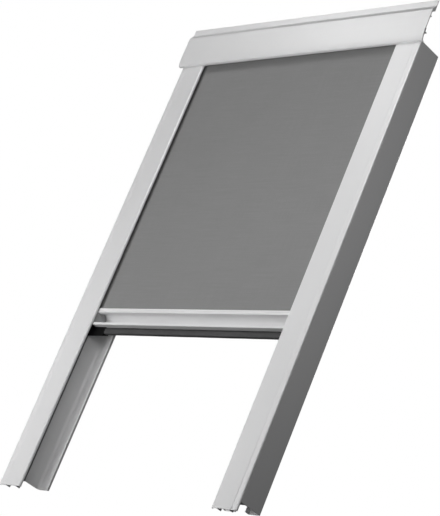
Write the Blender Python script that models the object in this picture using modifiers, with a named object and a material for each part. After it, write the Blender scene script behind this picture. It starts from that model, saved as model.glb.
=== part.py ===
# Roller mesh blind for a roof window. A spring roller in a head casing lets a mesh down between two side
# rails; a grip bar draws it and stays where it is put. Snap-on covers hide the rails and a fascia the head.
# Metres. X runs across the window, -Y is the room side and Z runs up the rails.
# The origin is midway between the rails, in the covers' front plane, level with the covers' lower ends.

import math

import bmesh
import bpy
from mathutils import Matrix, Vector

# Overall sizes
OVERALL_WIDTH = 0.550
COVER_LENGTH = 0.819
GAP = 0.0003

# Base rails, measured inwards from their outer face and back from the covers' front plane
RAIL_WALL = 0.0016
RAIL_DEPTH = 0.049
RAIL_CORNER = 0.003
RAIL_FOOT = 0.0145
BACK_WEB_WIDTH = 0.0251
BACK_WEB_RETURN = 0.009
LEFT_NOTCH_HEIGHT = 0.016
LEFT_NOTCH_FRONT = 0.016
FRONT_WEB_DEPTH = 0.012
INNER_WALL_INSET = 0.045
INNER_WALL_DEPTH = 0.0446
INNER_LIP_WIDTH = 0.026
INNER_LIP_RETURN = 0.004
INNER_FILLET = 0.005

# Front covers and the legs that clip them to the base rails
COVER_WIDTH = 0.0534
COVER_WALL = 0.0015
COVER_RETURN = 0.003
COVER_CORNER = 0.002
COVER_INNER_RETURN = 0.0045
COVER_INNER_CORNER = 0.004
GROOVE_INSET = 0.0112
GROOVE_WIDTH = 0.0036
GROOVE_DEPTH = 0.0009
OUTER_LEG_INSET = 0.0155
INNER_LEG_INSET = 0.042
LEG_WALL = 0.0015
LEG_CLEARANCE = 0.0018
BARB_DEPTH = 0.0008
BARB_LENGTH = 0.0018
CATCH_WALL = 0.0015
CATCH_HEAD = 0.0018

# Fascia over the head
FASCIA_OVERHANG = 0.0057
FASCIA_WALL = 0.0016
FASCIA_LAP = 0.004
FASCIA_LOWER_FRONT = 0.0055
FASCIA_FRONT = 0.0075
FASCIA_CREASE_HEIGHT = 0.0135
FASCIA_FACE_HEIGHT = 0.0585
FASCIA_STEP_HEIGHT = 0.0094
FASCIA_TOP_FRONT = 0.0020
FASCIA_TOP_HEIGHT = 0.0116
FASCIA_CORNER = 0.0008
FASCIA_LOWER_CORNER = 0.0025
FASCIA_FOOT_WALL = 0.0026
FASCIA_GUSSET_HEIGHT = 0.0048
LOWER_HOOK_HEIGHT = 0.0155
LOWER_HOOK_DEPTH = 0.0054
UPPER_HOOK_HEIGHT = 0.0455
UPPER_HOOK_DEPTH = 0.0027

# Head casing, its end brackets and their screws
CASING_FRONT = 0.0026
CASING_DEPTH = 0.034
CASING_LIFT = 0.003
CASING_HEIGHT = 0.050
CASING_WALL = 0.0015
CASING_CORNER = 0.002
CASING_SETBACK = 0.041
CASING_MOUTH = 0.0114
BRACKET_WALL = 0.002
BRACKET_RIM = 0.0023
TONGUE_LENGTH = 0.025
FOOT_WIDTH = 0.026
FOOT_WALL = 0.002
FOOT_HEIGHT = 0.021
FOOT_CLEARANCE = 0.0004
SCREW_INSETS = (0.025, 0.033)
SCREW_HEAD_RADIUS = 0.0032
SCREW_HEAD_HEIGHT = 0.0016
SCREW_RADIUS = 0.0016
SCREW_LENGTH = 0.008
SCREW_BELOW_TOP = 0.012
CLIP_INSET = 0.084
CLIP_WIDTH = 0.030
CLIP_WALL = 0.0012

# Roller and its spring
ROLLER_SETBACK = 0.0205
ROLLER_LIFT = 0.026
TUBE_RADIUS = 0.010
TUBE_WALL = 0.0012
ROLL_THICKNESS = 0.0010
PLUG_LENGTH = 0.014
PLUG_FLANGE = 0.0012
PIN_RADIUS = 0.003
PIN_HEAD_RADIUS = 0.0045
PIN_HEAD_LENGTH = 0.0016
SHAFT_LENGTH = 0.088
IDLER_LENGTH = 0.021
SPRING_LENGTH = 0.050
SPRING_TURNS = 18
SPRING_MEAN_RADIUS = 0.0054
SPRING_WIRE_RADIUS = 0.0005
SPRING_POINTS_PER_TURN = 10
COLLAR_LENGTH = 0.006
COLLAR_RADIUS = 0.0060

# Mesh and its edge seals
MESH_THICKNESS = 0.0004
MESH_EDGE_COVER = 0.001
PILE_WIDTH = 0.0024
PILE_DEPTH = 0.0025

# Bottom bar: a lip above that holds the mesh's rod, a finger cove behind it and a ledge below
BAR_BASE = 0.3007
BAR_HEIGHT = 0.0308
BAR_FRONT = 0.005
BAR_DEPTH = 0.0249
BAR_WALL = 0.0016
BAR_TOP_LIP = 0.0078
LIP_GROOVE_WIDTH = 0.0016
LIP_GROOVE_DEPTH = 0.0003
BAR_LOWER_LIP = 0.0044
COVE_RISE = 0.0035
COVE_RADIUS = 0.0104
ROD_RADIUS = 0.0016
ROD_CLEARANCE = 0.0004
CAP_THICKNESS = 0.006
CAP_CLEARANCE = 0.0011
MESH_SLOT = 0.0016
CAP_CORNER = 0.001

# Seal and guide blocks under the bar
SEAL_SETBACK = 0.0127
SEAL_DEPTH = 0.0113
SEAL_HEIGHT = 0.0130
SEAL_LOWER_CORNER = 0.0035
SEAL_UPPER_CORNER = 0.0035
LEFT_BLOCK_LENGTH = 0.0326
RIGHT_BLOCK_LENGTH = 0.0158
BLOCK_CLEARANCE = 0.0008
BLOCK_ARM_LENGTH = 0.0046
BLOCK_TONGUE_FRONT = 0.0050
BLOCK_TONGUE_WIDTH = 0.0036
BLOCK_TONGUE_CLEARANCE = 0.0006

# Places that follow from the sizes
HALF_WIDTH = OVERALL_WIDTH / 2
INNER_WALL_X = HALF_WIDTH - INNER_WALL_INSET
MESH_HALF_WIDTH = INNER_WALL_X + MESH_EDGE_COVER
CASING_HALF_LENGTH = HALF_WIDTH - CASING_SETBACK
BRACKET_INNER_X = CASING_HALF_LENGTH + GAP
BRACKET_OUTER_X = BRACKET_INNER_X + BRACKET_WALL
FASCIA_BOTTOM = COVER_LENGTH - FASCIA_LAP
CASING_BOTTOM = COVER_LENGTH + CASING_LIFT
CASING_BACK = CASING_FRONT + CASING_DEPTH
CASING_TOP = CASING_BOTTOM + CASING_HEIGHT
ROLLER_HEIGHT = CASING_BOTTOM + ROLLER_LIFT
TUBE_HALF_LENGTH = MESH_HALF_WIDTH + GAP
ROLL_RADIUS = TUBE_RADIUS + GAP + ROLL_THICKNESS
MESH_Y = ROLLER_SETBACK - ROLL_RADIUS - GAP - MESH_THICKNESS / 2
CAP_OUTER_X = INNER_WALL_X - CAP_CLEARANCE
BAR_HALF_LENGTH = CAP_OUTER_X - CAP_THICKNESS - GAP
BAR_BACK = BAR_FRONT + BAR_DEPTH
BAR_TOP = BAR_BASE + BAR_HEIGHT
ROD_Z = BAR_TOP - BAR_TOP_LIP + BAR_WALL + ROD_CLEARANCE + ROD_RADIUS
MESH_BOTTOM = ROD_Z + ROD_RADIUS + ROD_CLEARANCE
BLOCK_OUTER_X = INNER_WALL_X - BLOCK_CLEARANCE
SEAL_LEFT_X = -BLOCK_OUTER_X + LEFT_BLOCK_LENGTH + GAP
SEAL_RIGHT_X = BLOCK_OUTER_X - RIGHT_BLOCK_LENGTH - GAP
SEAL_TOP = BAR_BASE - GAP
SPRING_START_X = -(TUBE_HALF_LENGTH + GAP - PLUG_LENGTH) + 2 * SPRING_WIRE_RADIUS
SPRING_END_X = SPRING_START_X + SPRING_LENGTH

PAINT = (0.74, 0.74, 0.75)
STEEL = (0.56, 0.57, 0.58)
BLACK = (0.012, 0.012, 0.013)

ROUND_STEPS = 40
SMALL_STEPS = 16
CORNER_STEPS = 6


def clear_scene():
    for item in list(bpy.data.objects):
        bpy.data.objects.remove(item, do_unlink=True)


def make_collection(name):
    collection = bpy.data.collections.new(name)
    bpy.context.scene.collection.children.link(collection)
    return collection


def set_finish(item, colour, roughness, metallic=0.0):
    finish = bpy.data.materials.new(item.name + "_finish")
    finish.use_nodes = True
    shader = finish.node_tree.nodes["Principled BSDF"]
    shader.inputs["Base Color"].default_value = (*colour, 1.0)
    shader.inputs["Roughness"].default_value = roughness
    shader.inputs["Metallic"].default_value = metallic
    item.data.materials.clear()
    item.data.materials.append(finish)


def rounded_outline(corners):
    # A corner is (a, b) or (a, b, radius); a radius turns it into an arc.
    outline = []
    count = len(corners)
    for index, corner in enumerate(corners):
        here = Vector(corner[:2])
        if len(corner) == 2:
            outline.append(here)
            continue
        before = (Vector(corners[index - 1][:2]) - here).normalized()
        after = (Vector(corners[(index + 1) % count][:2]) - here).normalized()
        half_angle = before.angle(after) / 2
        reach = corner[2] / math.tan(half_angle)
        centre = here + (before + after).normalized() * corner[2] / math.sin(half_angle)
        start = here + before * reach - centre
        turn = start.angle_signed(here + after * reach - centre)
        for step in range(CORNER_STEPS + 1):
            spoke = start.copy()
            spoke.rotate(Matrix.Rotation(-turn * step / CORNER_STEPS, 2))
            outline.append(centre + spoke)
    return outline


def circle_outline(centre_a, centre_b, radius, steps=SMALL_STEPS):
    angles = [2 * math.pi * step / steps for step in range(steps)]
    return [(centre_a + radius * math.cos(angle), centre_b + radius * math.sin(angle)) for angle in angles]


def rectangle(low_a, low_b, high_a, high_b):
    return [(low_a, low_b), (high_a, low_b), (high_a, high_b), (low_a, high_b)]


def extrude_outline(name, outlines, axis, start, end, collection):
    # The outlines are in X, Y for an extrusion along Z, in Y, Z for X, and in X, Z for Y.
    curve = bpy.data.curves.new(name, "CURVE")
    curve.dimensions = "2D"
    curve.fill_mode = "BOTH"
    curve.extrude = abs(end - start) / 2
    for outline in outlines:
        spline = curve.splines.new("POLY")
        spline.points.add(len(outline) - 1)
        for point, place in zip(spline.points, outline):
            point.co = (place[0], place[1], 0.0, 1.0)
        spline.use_cyclic_u = True
    item = bpy.data.objects.new(name, curve)
    middle = (start + end) / 2
    if axis == "X":
        item.rotation_euler = (math.pi / 2, 0.0, math.pi / 2)
        item.location = (middle, 0.0, 0.0)
    elif axis == "Y":
        item.rotation_euler = (math.pi / 2, 0.0, 0.0)
        item.location = (0.0, middle, 0.0)
    else:
        item.location = (0.0, 0.0, middle)
    collection.objects.link(item)
    return item


def curve_to_mesh(item):
    # A curve that is cut or joined becomes a mesh with its caps welded.
    bpy.context.view_layer.update()
    evaluated = item.evaluated_get(bpy.context.evaluated_depsgraph_get())
    mesh = bpy.data.meshes.new_from_object(evaluated)
    shape = bmesh.new()
    shape.from_mesh(mesh)
    bmesh.ops.remove_doubles(shape, verts=shape.verts, dist=0.000001)
    shape.to_mesh(mesh)
    shape.free()
    name = item.name
    place = item.matrix_world.copy()
    collection = item.users_collection[0]
    bpy.data.objects.remove(item, do_unlink=True)
    solid = bpy.data.objects.new(name, mesh)
    solid.matrix_world = place
    collection.objects.link(solid)
    return solid


def flip_across(item):
    # Turns a right-hand piece into a left-hand one.
    shape = bmesh.new()
    shape.from_mesh(item.data)
    bmesh.ops.scale(shape, vec=(-1.0, 1.0, 1.0), verts=shape.verts)
    bmesh.ops.reverse_faces(shape, faces=shape.faces)
    shape.to_mesh(item.data)
    shape.free()


def combine(item, others, operation):
    for other in others:
        other.hide_render = True
        other.display_type = "WIRE"
        step = item.modifiers.new(operation.lower(), "BOOLEAN")
        step.operation = operation
        step.solver = "EXACT"
        step.object = other


def turned(name, profile, axis, place, collection, steps=ROUND_STEPS):
    # The profile is (radius, height) down the outer side; it turns about the height axis.
    mesh = bpy.data.meshes.new(name)
    shape = bmesh.new()
    corners = [shape.verts.new((radius, 0.0, height)) for radius, height in profile]
    for first, second in zip(corners, corners[1:]):
        shape.edges.new((first, second))
    if profile[0][0] > 0 and profile[-1][0] > 0:
        shape.edges.new((corners[-1], corners[0]))
    shape.to_mesh(mesh)
    shape.free()
    item = bpy.data.objects.new(name, mesh)
    collection.objects.link(item)
    screw = item.modifiers.new("turn", "SCREW")
    screw.steps = steps
    screw.render_steps = steps
    screw.use_merge_vertices = True
    screw.merge_threshold = 0.0001
    item.location = place
    if axis == "X":
        item.rotation_euler = (0.0, math.pi / 2, 0.0)
    elif axis == "-X":
        item.rotation_euler = (0.0, -math.pi / 2, 0.0)
    elif axis == "-Y":
        item.rotation_euler = (math.pi / 2, 0.0, 0.0)
    return item


def ring_profile(outer, inner, low, high):
    return [(outer, high), (outer, low), (inner, low), (inner, high)]


def attach(item, guide):
    bpy.context.view_layer.update()
    item.parent = guide
    item.matrix_parent_inverse = guide.matrix_world.inverted()


def side_outline(side, outline):
    # Turns places measured inwards from the rail's outer face into world X.
    return [(side * (HALF_WIDTH - place[0]), place[1]) for place in outline]


def leg_outline(inset, facing):
    # A clip leg behind the cover's face, with its barb on the side that it faces.
    tip = FRONT_WEB_DEPTH - LEG_CLEARANCE
    face = inset + LEG_WALL if facing > 0 else inset
    back = inset if facing > 0 else inset + LEG_WALL
    return [
        (face, COVER_WALL),
        (face, tip - BARB_LENGTH),
        (face + facing * BARB_DEPTH, tip - BARB_LENGTH),
        (face, tip),
        (back, tip),
        (back, COVER_WALL),
    ]


def catch_outline(inset, facing):
    # The rib on the front web whose head hooks in front of a leg's barb.
    leg_face = inset + LEG_WALL if facing > 0 else inset
    head_back = FRONT_WEB_DEPTH - LEG_CLEARANCE - BARB_LENGTH - GAP
    near = leg_face + facing * (BARB_DEPTH + GAP)
    far = near + facing * CATCH_WALL
    head = leg_face + facing * GAP
    return [
        (near, FRONT_WEB_DEPTH),
        (near, head_back),
        (head, head_back),
        (head, head_back - CATCH_HEAD),
        (far, head_back - CATCH_HEAD),
        (far, FRONT_WEB_DEPTH),
    ]


def outer_leg():
    return leg_outline(OUTER_LEG_INSET, 1)


def inner_leg():
    return leg_outline(INNER_LEG_INSET - LEG_WALL, -1)


def left_notch(cutters):
    # The left rail's outer wall and back web start higher than the rest of it.
    outer = -HALF_WIDTH - RAIL_WALL
    inner = -HALF_WIDTH + BACK_WEB_WIDTH + RAIL_WALL
    outline = rectangle(outer, LEFT_NOTCH_FRONT, inner, RAIL_DEPTH + RAIL_WALL)
    return curve_to_mesh(extrude_outline("left_notch", [outline], "Z", 0.0, RAIL_FOOT + LEFT_NOTCH_HEIGHT, cutters))


def make_base_rail(side, name, collection, cutters):
    wall = RAIL_WALL
    front = COVER_RETURN + GAP
    inner = INNER_WALL_INSET
    lip_end = inner + INNER_LIP_WIDTH
    section = [
        (0, front),
        (0, RAIL_DEPTH, RAIL_CORNER),
        (BACK_WEB_WIDTH, RAIL_DEPTH),
        (BACK_WEB_WIDTH, RAIL_DEPTH - BACK_WEB_RETURN),
        (BACK_WEB_WIDTH - wall, RAIL_DEPTH - BACK_WEB_RETURN),
        (BACK_WEB_WIDTH - wall, RAIL_DEPTH - wall),
        (wall, RAIL_DEPTH - wall, RAIL_CORNER - wall),
        (wall, FRONT_WEB_DEPTH + wall),
        (inner - wall, FRONT_WEB_DEPTH + wall),
        (inner - wall, INNER_WALL_DEPTH, INNER_FILLET + wall),
        (lip_end, INNER_WALL_DEPTH),
        (lip_end, INNER_WALL_DEPTH - INNER_LIP_RETURN),
        (lip_end - wall, INNER_WALL_DEPTH - INNER_LIP_RETURN),
        (lip_end - wall, INNER_WALL_DEPTH - wall),
        (inner, INNER_WALL_DEPTH - wall, INNER_FILLET),
        (inner, FRONT_WEB_DEPTH),
    ]
    section += catch_outline(INNER_LEG_INSET - LEG_WALL, -1)
    section += reversed(catch_outline(OUTER_LEG_INSET, 1))
    section += [(wall, FRONT_WEB_DEPTH), (wall, front)]
    outline = side_outline(1, rounded_outline(section))
    rail = extrude_outline(name, [outline], "Z", RAIL_FOOT, COVER_LENGTH, collection)
    rail = curve_to_mesh(rail)
    if side < 0:
        flip_across(rail)
    holes = []
    for inset in SCREW_INSETS:
        hole = circle_outline(side * (HALF_WIDTH - inset), COVER_LENGTH - SCREW_BELOW_TOP, SCREW_RADIUS + GAP)
        cutter = extrude_outline(name + "_hole", [hole], "Y", 0.0, FRONT_WEB_DEPTH + 2 * wall, cutters)
        holes.append(curve_to_mesh(cutter))
    if side < 0:
        holes.append(left_notch(cutters))
    combine(rail, holes, "DIFFERENCE")
    set_finish(rail, PAINT, 0.42)
    return rail


def make_cover(side, name, collection):
    section = [
        (0, 0, COVER_CORNER),
        (GROOVE_INSET - GROOVE_WIDTH / 2, 0),
        (GROOVE_INSET, GROOVE_DEPTH),
        (GROOVE_INSET + GROOVE_WIDTH / 2, 0),
        (COVER_WIDTH, 0, COVER_INNER_CORNER),
        (COVER_WIDTH, COVER_INNER_RETURN),
        (COVER_WIDTH - COVER_WALL, COVER_INNER_RETURN),
        (COVER_WIDTH - COVER_WALL, COVER_WALL, COVER_INNER_CORNER - COVER_WALL),
    ]
    section += reversed(inner_leg())
    section += outer_leg()
    section += [
        (COVER_WALL, COVER_WALL, COVER_CORNER - COVER_WALL),
        (COVER_WALL, COVER_RETURN),
        (0, COVER_RETURN),
    ]
    outline = side_outline(side, rounded_outline(section))
    cover = extrude_outline(name, [outline], "Z", 0.0, COVER_LENGTH, collection)
    set_finish(cover, PAINT, 0.40)
    return cover


def make_pile_strip(side, name, collection):
    near = INNER_WALL_INSET - GAP
    back = FRONT_WEB_DEPTH - GAP
    outline = side_outline(side, rectangle(near - PILE_WIDTH, back - PILE_DEPTH, near, back))
    strip = extrude_outline(name, [outline], "Z", RAIL_FOOT, COVER_LENGTH, collection)
    set_finish(strip, (0.20, 0.20, 0.21), 0.95)
    return strip


def make_fascia(collection):
    wall = FASCIA_WALL
    face = -FASCIA_FRONT
    back = face + wall
    bottom = FASCIA_BOTTOM
    face_top = bottom + FASCIA_FACE_HEIGHT
    step_top = face_top + FASCIA_STEP_HEIGHT
    top = step_top + FASCIA_TOP_HEIGHT
    strip_front = -FASCIA_TOP_FRONT
    lower_hook = bottom + LOWER_HOOK_HEIGHT
    upper_hook = bottom + UPPER_HOOK_HEIGHT
    section = [
        (-FASCIA_LOWER_FRONT, bottom, FASCIA_LOWER_CORNER),
        (face, bottom + FASCIA_CREASE_HEIGHT),
        (face, face_top, FASCIA_CORNER),
        (strip_front, step_top),
        (strip_front, top),
        (strip_front + wall, top),
        (strip_front + wall, face_top),
        (back, face_top - FASCIA_GUSSET_HEIGHT),
        (back, upper_hook + wall),
        (back + UPPER_HOOK_DEPTH, upper_hook + wall),
        (back + UPPER_HOOK_DEPTH, upper_hook),
        (back, upper_hook),
        (back, lower_hook + wall),
        (back + LOWER_HOOK_DEPTH, lower_hook + wall),
        (back + LOWER_HOOK_DEPTH, lower_hook),
        (back, lower_hook),
        (-FASCIA_LOWER_FRONT + FASCIA_FOOT_WALL, bottom + wall),
        (-GAP, bottom + wall),
        (-GAP, bottom),
    ]
    reach = HALF_WIDTH + FASCIA_OVERHANG
    fascia = extrude_outline("top_fascia", [rounded_outline(section)], "X", -reach, reach, collection)
    set_finish(fascia, PAINT, 0.38)
    return fascia


def make_casing(collection):
    wall = CASING_WALL
    front = CASING_FRONT
    mouth = front + CASING_MOUTH
    section = [
        (front, CASING_BOTTOM),
        (front, CASING_TOP, CASING_CORNER),
        (CASING_BACK, CASING_TOP, CASING_CORNER),
        (CASING_BACK, CASING_BOTTOM, CASING_CORNER),
        (mouth, CASING_BOTTOM),
        (mouth, CASING_BOTTOM + wall),
        (CASING_BACK - wall, CASING_BOTTOM + wall),
        (CASING_BACK - wall, CASING_TOP - wall),
        (front + wall, CASING_TOP - wall),
        (front + wall, CASING_BOTTOM),
    ]
    outline = rounded_outline(section)
    casing = extrude_outline("head_casing", [outline], "X", -CASING_HALF_LENGTH, CASING_HALF_LENGTH, collection)
    set_finish(casing, PAINT, 0.45)
    return casing


def make_bracket(side, name, collection, cutters):
    # An end plate with a tongue down into the rail, a rim inside the casing and a foot behind the front web.
    tongue_front = FRONT_WEB_DEPTH + RAIL_WALL + FOOT_CLEARANCE
    tongue_bottom = CASING_BOTTOM - TONGUE_LENGTH
    plate = [
        (CASING_FRONT, CASING_BOTTOM),
        (CASING_FRONT, CASING_TOP, CASING_CORNER),
        (CASING_BACK, CASING_TOP, CASING_CORNER),
        (CASING_BACK, tongue_bottom, CASING_CORNER),
        (tongue_front, tongue_bottom),
        (tongue_front, CASING_BOTTOM),
    ]
    hole = circle_outline(ROLLER_SETBACK, ROLLER_HEIGHT, PIN_RADIUS + GAP)
    inner = side * BRACKET_INNER_X
    outer = side * BRACKET_OUTER_X
    bracket = extrude_outline(name, [rounded_outline(plate), hole], "X", inner, outer, collection)
    bracket = curve_to_mesh(bracket)

    play = CASING_WALL + GAP
    rim_front = CASING_FRONT + play
    rim_back = CASING_BACK - play
    rim_bottom = CASING_BOTTOM + play
    rim_top = CASING_TOP - play
    rim_mouth = CASING_FRONT + CASING_MOUTH + GAP
    rim = [
        (rim_front, rim_bottom),
        (rim_front, rim_top),
        (rim_back, rim_top),
        (rim_back, rim_bottom),
        (rim_mouth, rim_bottom),
        (rim_mouth, rim_bottom + BRACKET_WALL),
        (rim_back - BRACKET_WALL, rim_bottom + BRACKET_WALL),
        (rim_back - BRACKET_WALL, rim_top - BRACKET_WALL),
        (rim_front + BRACKET_WALL, rim_top - BRACKET_WALL),
        (rim_front + BRACKET_WALL, rim_bottom),
    ]
    rim_inner = side * (BRACKET_INNER_X - BRACKET_RIM)
    rim_solid = extrude_outline(name + "_rim", [rim], "X", rim_inner, inner + side * BRACKET_WALL / 2, cutters)

    foot_near = side * (BRACKET_INNER_X + BRACKET_WALL / 2)
    foot_far = side * (BRACKET_OUTER_X + FOOT_WIDTH)
    foot = rectangle(min(foot_near, foot_far), tongue_bottom, max(foot_near, foot_far), tongue_bottom + FOOT_HEIGHT)
    screw_height = COVER_LENGTH - SCREW_BELOW_TOP
    holes = []
    for inset in SCREW_INSETS:
        holes.append(circle_outline(side * (HALF_WIDTH - inset), screw_height, SCREW_RADIUS + GAP))
    foot_solid = extrude_outline(
        name + "_foot", [foot] + holes, "Y", tongue_front, tongue_front + FOOT_WALL, cutters
    )
    combine(bracket, [curve_to_mesh(rim_solid), curve_to_mesh(foot_solid)], "UNION")
    set_finish(bracket, (0.30, 0.31, 0.32), 0.55)
    return bracket


def make_bracket_screw(side, inset, name, collection):
    head_seat = FRONT_WEB_DEPTH - GAP
    profile = [
        (0, 0),
        (SCREW_HEAD_RADIUS * 0.7, 0),
        (SCREW_HEAD_RADIUS, -SCREW_HEAD_HEIGHT / 2),
        (SCREW_HEAD_RADIUS, -SCREW_HEAD_HEIGHT),
        (SCREW_RADIUS, -SCREW_HEAD_HEIGHT),
        (SCREW_RADIUS, -SCREW_HEAD_HEIGHT - SCREW_LENGTH + SCREW_RADIUS),
        (0, -SCREW_HEAD_HEIGHT - SCREW_LENGTH),
    ]
    place = (side * (HALF_WIDTH - inset), head_seat - SCREW_HEAD_HEIGHT, COVER_LENGTH - SCREW_BELOW_TOP)
    screw = turned(name, profile, "-Y", place, collection, SMALL_STEPS)
    set_finish(screw, STEEL, 0.35, 1.0)
    return screw


def make_fascia_clip(side, name, collection):
    sheet_back = -FASCIA_FRONT + FASCIA_WALL
    low = FASCIA_BOTTOM + LOWER_HOOK_HEIGHT + FASCIA_WALL + GAP
    high = FASCIA_BOTTOM + UPPER_HOOK_HEIGHT - GAP
    back = CASING_FRONT - GAP
    section = [
        (back, low),
        (sheet_back + GAP, low),
        (sheet_back + GAP, low + CLIP_WALL),
        (back - CLIP_WALL, low + CLIP_WALL),
        (back - CLIP_WALL, high - CLIP_WALL),
        (sheet_back + GAP, high - CLIP_WALL),
        (sheet_back + GAP, high),
        (back, high),
    ]
    start = side * (CASING_HALF_LENGTH - CLIP_INSET) - CLIP_WIDTH / 2
    clip = extrude_outline(name, [section], "X", start, start + CLIP_WIDTH, collection)
    set_finish(clip, STEEL, 0.35, 1.0)
    return clip


def make_roller(collection):
    axis_place = (0.0, ROLLER_SETBACK, ROLLER_HEIGHT)
    tube_inner = TUBE_RADIUS - TUBE_WALL
    tube_profile = ring_profile(TUBE_RADIUS, tube_inner, -TUBE_HALF_LENGTH, TUBE_HALF_LENGTH)
    tube = turned("roller_tube", tube_profile, "X", axis_place, collection)
    set_finish(tube, (0.66, 0.67, 0.68), 0.32, 1.0)

    roll_profile = ring_profile(ROLL_RADIUS, TUBE_RADIUS + GAP, -MESH_HALF_WIDTH, MESH_HALF_WIDTH)
    roll = turned("mesh_roll", roll_profile, "X", axis_place, collection)
    set_finish(roll, (0.18, 0.18, 0.18), 0.85)

    pieces = [tube, roll]
    for side_name, axis in (("left", "-X"), ("right", "X")):
        end = TUBE_HALF_LENGTH + GAP
        profile = [
            (TUBE_RADIUS, end + PLUG_FLANGE),
            (TUBE_RADIUS, end),
            (tube_inner - GAP, end),
            (tube_inner - GAP, end - PLUG_LENGTH),
            (PIN_RADIUS + GAP, end - PLUG_LENGTH),
            (PIN_RADIUS + GAP, end + PLUG_FLANGE),
        ]
        plug = turned(side_name + "_roller_plug", profile, axis, axis_place, collection)
        set_finish(plug, (0.05, 0.05, 0.055), 0.5)
        pieces.append(plug)
    return pieces


def make_pin(name, axis, length, collection):
    # A shaft through the bracket, with its head on the bracket's outer face.
    head = BRACKET_OUTER_X + GAP
    profile = [
        (0, head + PIN_HEAD_LENGTH),
        (PIN_HEAD_RADIUS, head + PIN_HEAD_LENGTH),
        (PIN_HEAD_RADIUS, head),
        (PIN_RADIUS, head),
        (PIN_RADIUS, head - length),
        (0, head - length),
    ]
    pin = turned(name, profile, axis, (0.0, ROLLER_SETBACK, ROLLER_HEIGHT), collection, SMALL_STEPS)
    set_finish(pin, STEEL, 0.3, 1.0)
    return pin


def make_torsion_spring(collection):
    curve = bpy.data.curves.new("torsion_spring", "CURVE")
    curve.dimensions = "3D"
    curve.bevel_depth = SPRING_WIRE_RADIUS
    curve.bevel_resolution = 1
    curve.use_fill_caps = True
    spline = curve.splines.new("POLY")
    count = SPRING_TURNS * SPRING_POINTS_PER_TURN
    spline.points.add(count)
    for index, point in enumerate(spline.points):
        angle = 2 * math.pi * index / SPRING_POINTS_PER_TURN
        along = SPRING_LENGTH * index / count
        across = SPRING_MEAN_RADIUS * math.cos(angle)
        up = SPRING_MEAN_RADIUS * math.sin(angle)
        point.co = (along, across, up, 1.0)
    spring = bpy.data.objects.new("torsion_spring", curve)
    spring.location = (SPRING_START_X, ROLLER_SETBACK, ROLLER_HEIGHT)
    collection.objects.link(spring)
    set_finish(spring, (0.42, 0.42, 0.43), 0.35, 1.0)
    return spring


def make_spring_collar(collection):
    # Grips the shaft and holds the spring's still end.
    start = SPRING_WIRE_RADIUS + GAP
    profile = ring_profile(COLLAR_RADIUS, PIN_RADIUS + GAP, start, start + COLLAR_LENGTH)
    place = (SPRING_END_X, ROLLER_SETBACK, ROLLER_HEIGHT)
    collar = turned("spring_collar", profile, "X", place, collection, SMALL_STEPS)
    set_finish(collar, (0.05, 0.05, 0.055), 0.5)
    return collar


def make_mesh_screen(collection):
    front = MESH_Y - MESH_THICKNESS / 2
    outline = rectangle(-MESH_HALF_WIDTH, front, MESH_HALF_WIDTH, front + MESH_THICKNESS)
    screen = extrude_outline("mesh_screen", [outline], "Z", MESH_BOTTOM, ROLLER_HEIGHT, collection)
    set_finish(screen, (0.19, 0.19, 0.19), 0.85)
    return screen


def make_bottom_bar(collection):
    front = BAR_FRONT
    lip_bottom = BAR_TOP - BAR_TOP_LIP
    groove_middle = BAR_TOP - BAR_TOP_LIP / 2
    slot_front = MESH_Y - MESH_SLOT / 2
    slot_back = MESH_Y + MESH_SLOT / 2
    chamber_reach = ROD_RADIUS + ROD_CLEARANCE
    chamber_front = MESH_Y - chamber_reach
    chamber_back = MESH_Y + chamber_reach
    chamber_low = ROD_Z - chamber_reach
    chamber_high = ROD_Z + chamber_reach
    block_back = chamber_back + BAR_WALL
    ceiling = lip_bottom + COVE_RISE
    cove_back = BAR_BACK - BAR_WALL
    ledge = BAR_BASE + BAR_WALL
    section = [
        (front, lip_bottom),
        (front, groove_middle - LIP_GROOVE_WIDTH / 2),
        (front + LIP_GROOVE_DEPTH, groove_middle),
        (front, groove_middle + LIP_GROOVE_WIDTH / 2),
        (front, BAR_TOP),
        (slot_front, BAR_TOP),
        (slot_front, chamber_high),
        (chamber_front, chamber_high),
        (chamber_front, chamber_low),
        (chamber_back, chamber_low),
        (chamber_back, chamber_high),
        (slot_back, chamber_high),
        (slot_back, BAR_TOP),
        (block_back, BAR_TOP),
        (block_back, ceiling + BAR_WALL),
        (BAR_BACK, ceiling + BAR_WALL, COVE_RADIUS + BAR_WALL),
        (BAR_BACK, BAR_BASE),
        (front, BAR_BASE),
        (front, BAR_BASE + BAR_LOWER_LIP),
        (front + BAR_WALL, BAR_BASE + BAR_LOWER_LIP),
        (front + BAR_WALL, ledge),
        (cove_back, ledge),
        (cove_back, ceiling, COVE_RADIUS),
        (block_back, ceiling),
        (block_back, lip_bottom),
    ]
    outline = rounded_outline(section)
    bar = extrude_outline("bottom_bar", [outline], "X", -BAR_HALF_LENGTH, BAR_HALF_LENGTH, collection)
    set_finish(bar, PAINT, 0.40)
    return bar


def make_mesh_rod(collection):
    half = BAR_HALF_LENGTH - GAP
    profile = [(0, half), (ROD_RADIUS, half), (ROD_RADIUS, -half), (0, -half)]
    rod = turned("mesh_rod", profile, "X", (0.0, MESH_Y, ROD_Z), collection, SMALL_STEPS)
    set_finish(rod, (0.62, 0.62, 0.62), 0.5)
    return rod


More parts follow.
